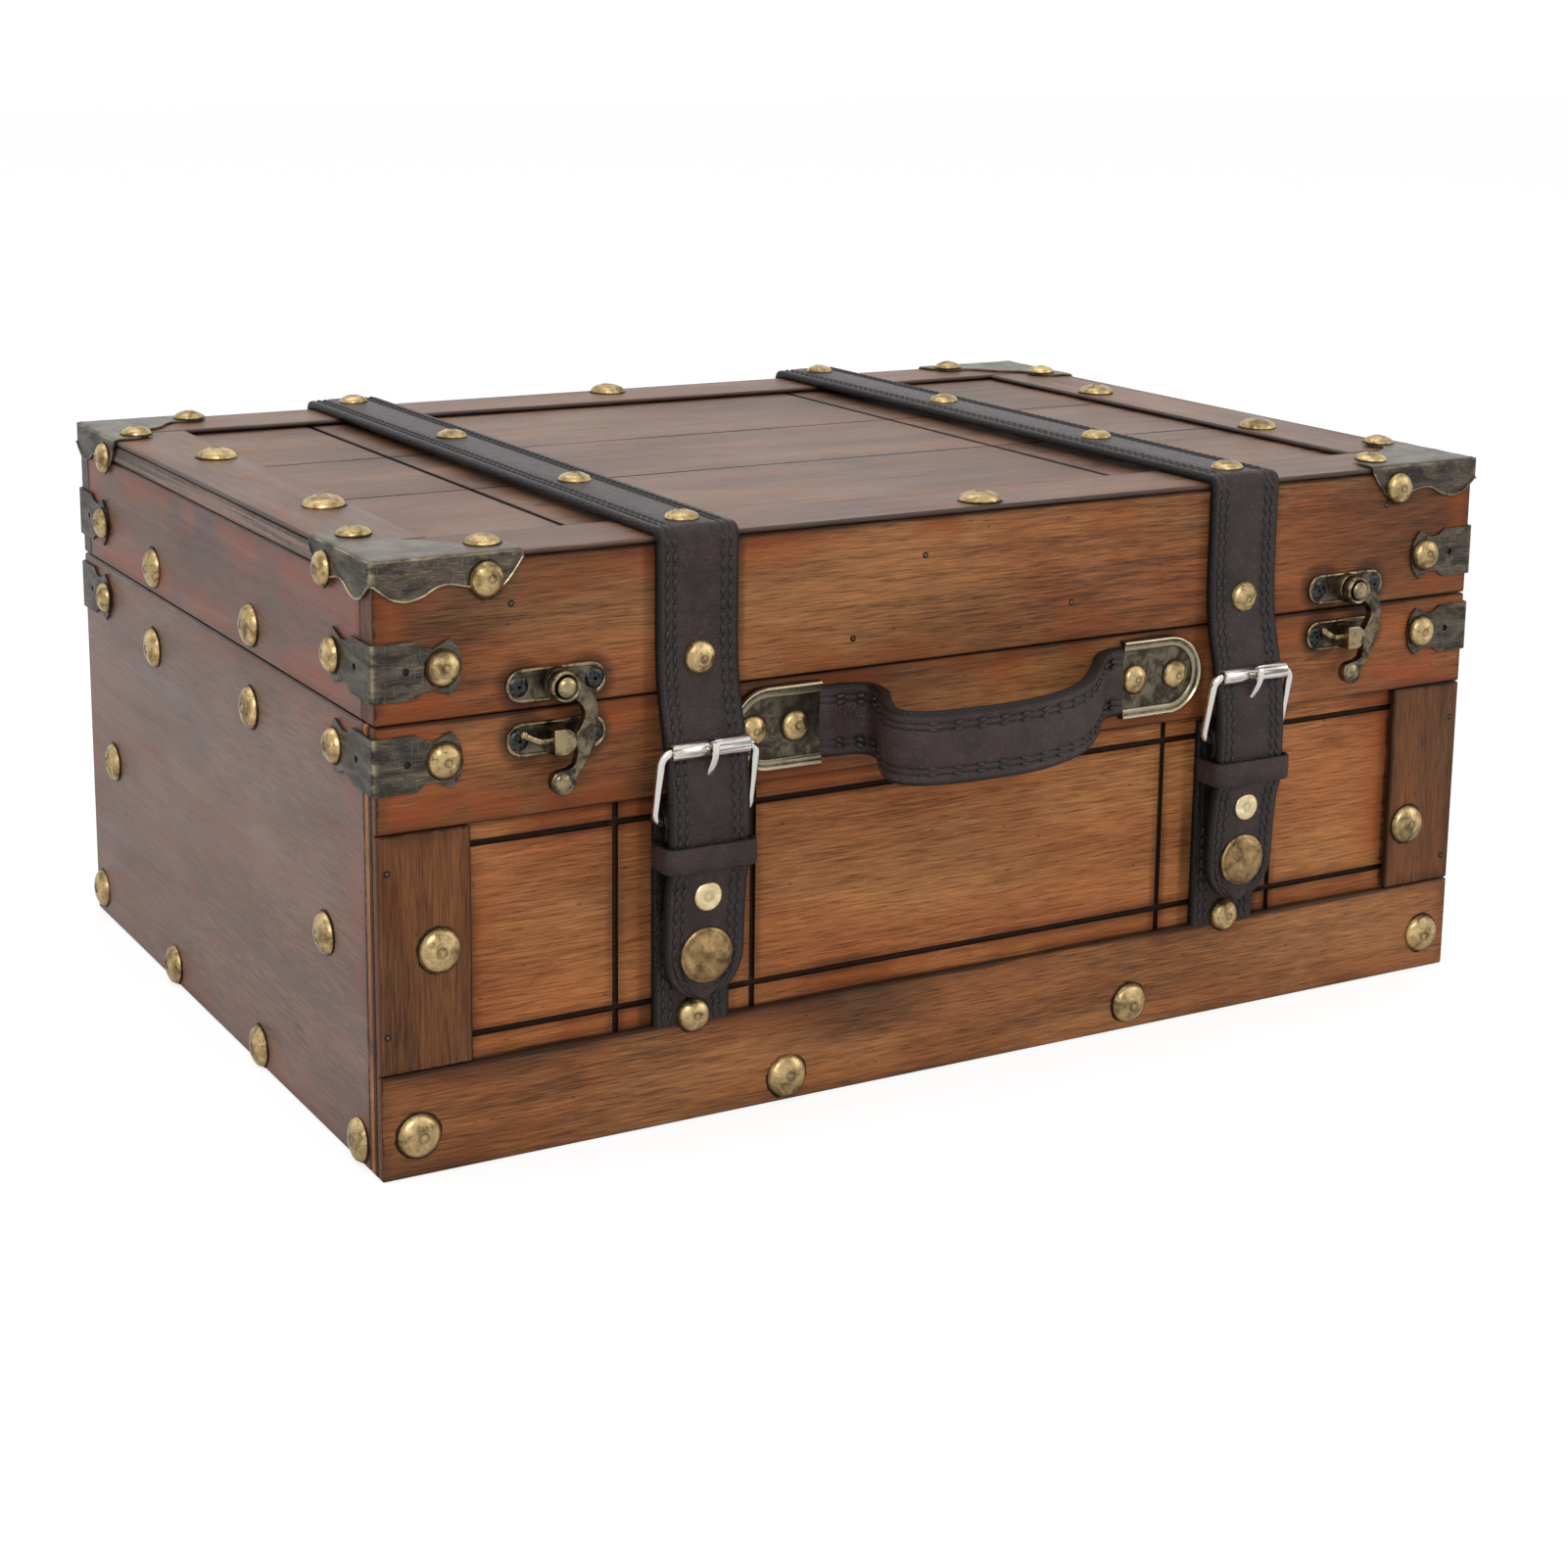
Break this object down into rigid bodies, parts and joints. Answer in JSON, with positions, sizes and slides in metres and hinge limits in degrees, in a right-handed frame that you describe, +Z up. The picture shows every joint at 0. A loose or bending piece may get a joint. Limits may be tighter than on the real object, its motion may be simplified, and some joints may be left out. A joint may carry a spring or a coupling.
{
  "type": "wooden storage trunk",
  "caption": "Low wooden storage trunk with a hinged lid, leather straps with roller buckles and snaps, hook latches, corner guards, dome tacks and a bowed leather handle.",
  "frame": {"origin": "middle of the underside of the base, on the surface that the trunk stands on", "axes": "+X to the right of someone facing the front, +Y to the back, +Z up"},
  "size_m": [0.357, 0.2916, 0.1631],
  "materials": {
    "front_wood": "satin stain, orange-brown with dark edges",
    "side_wood": "satin stain, dark purplish brown",
    "top_wood": "satin stain, greyish brown",
    "inner_wood": "plain stained board",
    "dark_steel": "antique dark metal with rubbed brassy edges",
    "aged_brass": "antique brass with a darkened centre",
    "latch_bronze": "dark antique bronze, brushed",
    "bright_nickel": "bright polished nickel",
    "strap_leather": "espresso brown, stitched along both edges",
    "grip_leather": "dark brown, stitched"
  },
  "bodies": {
    "base": {"base_front_panel": "front_wood", "base_top_rail": "front_wood", "base_bottom_rail": "front_wood", "base_left_stile": "front_wood", "base_right_stile": "front_wood", "base_left_side": "side_wood", "base_right_side": "side_wood", "base_back_board": "side_wood", "base_bottom_board": "inner_wood", "base_bracket_front_left": "dark_steel", "base_bracket_front_right": "dark_steel", "base_bracket_back_left": "dark_steel", "base_bracket_back_right": "dark_steel", "handle_grip": "grip_leather", "left_handle_cap": "latch_bronze", "left_base_strap": "strap_leather", "left_catch_plate": "latch_bronze", "left_hinge_base_leaf": "aged_brass", "right_handle_cap": "latch_bronze", "right_base_strap": "strap_leather", "right_catch_plate": "latch_bronze", "right_hinge_base_leaf": "aged_brass"},
    "lid": {"lid_front_wall": "front_wood", "lid_left_wall": "side_wood", "lid_right_wall": "side_wood", "lid_back_wall": "side_wood", "lid_top_board": "top_wood", "lid_front_strip": "top_wood", "lid_back_strip": "top_wood", "lid_left_strip": "top_wood", "lid_right_strip": "top_wood", "lid_bracket_front_left": "dark_steel", "lid_bracket_front_right": "dark_steel", "lid_bracket_back_left": "dark_steel", "lid_bracket_back_right": "dark_steel", "corner_guard_front_left": "dark_steel", "corner_guard_front_right": "dark_steel", "corner_guard_back_left": "dark_steel", "corner_guard_back_right": "dark_steel", "left_lid_strap": "strap_leather", "left_latch_plate": "latch_bronze", "left_hinge_lid_leaf": "aged_brass", "right_lid_strap": "strap_leather", "right_latch_plate": "latch_bronze", "right_hinge_lid_leaf": "aged_brass"},
    "left_hook": {"left_latch_hook": "latch_bronze"},
    "left_tail": {"left_strap_tail": "strap_leather", "left_snap_cap": "aged_brass", "left_buckle_frame": "bright_nickel", "left_strap_keeper": "strap_leather"},
    "left_roller": {"left_buckle_roller": "bright_nickel"},
    "left_prong": {"left_buckle_prong": "bright_nickel"},
    "right_hook": {"right_latch_hook": "latch_bronze"},
    "right_tail": {"right_strap_tail": "strap_leather", "right_snap_cap": "aged_brass", "right_buckle_frame": "bright_nickel", "right_strap_keeper": "strap_leather"},
    "right_roller": {"right_buckle_roller": "bright_nickel"},
    "right_prong": {"right_buckle_prong": "bright_nickel"}
  },
  "joints": [
    {"name": "lid_hinge", "type": "hinge", "parent": "base", "child": "lid", "pos_m": [0, 0.125, 0.1173], "axis": [-1, 0, 0], "range_deg": [0, 105]},
    {"name": "left_hook_swing", "type": "hinge", "parent": "lid", "child": "left_hook", "pos_m": [-0.1269, -0.1225, 0.1237], "axis": [0, -1, 0], "range_deg": [0, 90]},
    {"name": "right_hook_swing", "type": "hinge", "parent": "lid", "child": "right_hook", "pos_m": [0.1273, -0.1225, 0.1237], "axis": [0, -1, 0], "range_deg": [0, 90]},
    {"name": "left_strap_lift", "type": "hinge", "parent": "lid", "child": "left_tail", "pos_m": [-0.08775, -0.124, 0.1173], "axis": [-1, 0, 0], "range_deg": [0, 90]},
    {"name": "right_strap_lift", "type": "hinge", "parent": "lid", "child": "right_tail", "pos_m": [0.08775, -0.124, 0.1173], "axis": [-1, 0, 0], "range_deg": [0, 90]},
    {"name": "left_roller_spin", "type": "hinge", "parent": "left_tail", "child": "left_roller", "pos_m": [-0.08775, -0.1312, 0.1038], "axis": [1, 0, 0], "continuous": true},
    {"name": "right_roller_spin", "type": "hinge", "parent": "right_tail", "child": "right_roller", "pos_m": [0.08775, -0.1312, 0.1038], "axis": [1, 0, 0], "continuous": true},
    {"name": "left_prong_lift", "type": "hinge", "parent": "left_tail", "child": "left_prong", "pos_m": [-0.08775, -0.1271, 0.0845], "axis": [1, 0, 0], "range_deg": [0, 5]},
    {"name": "right_prong_lift", "type": "hinge", "parent": "right_tail", "child": "right_prong", "pos_m": [0.08775, -0.1271, 0.0845], "axis": [1, 0, 0], "range_deg": [0, 5]}
  ]
}
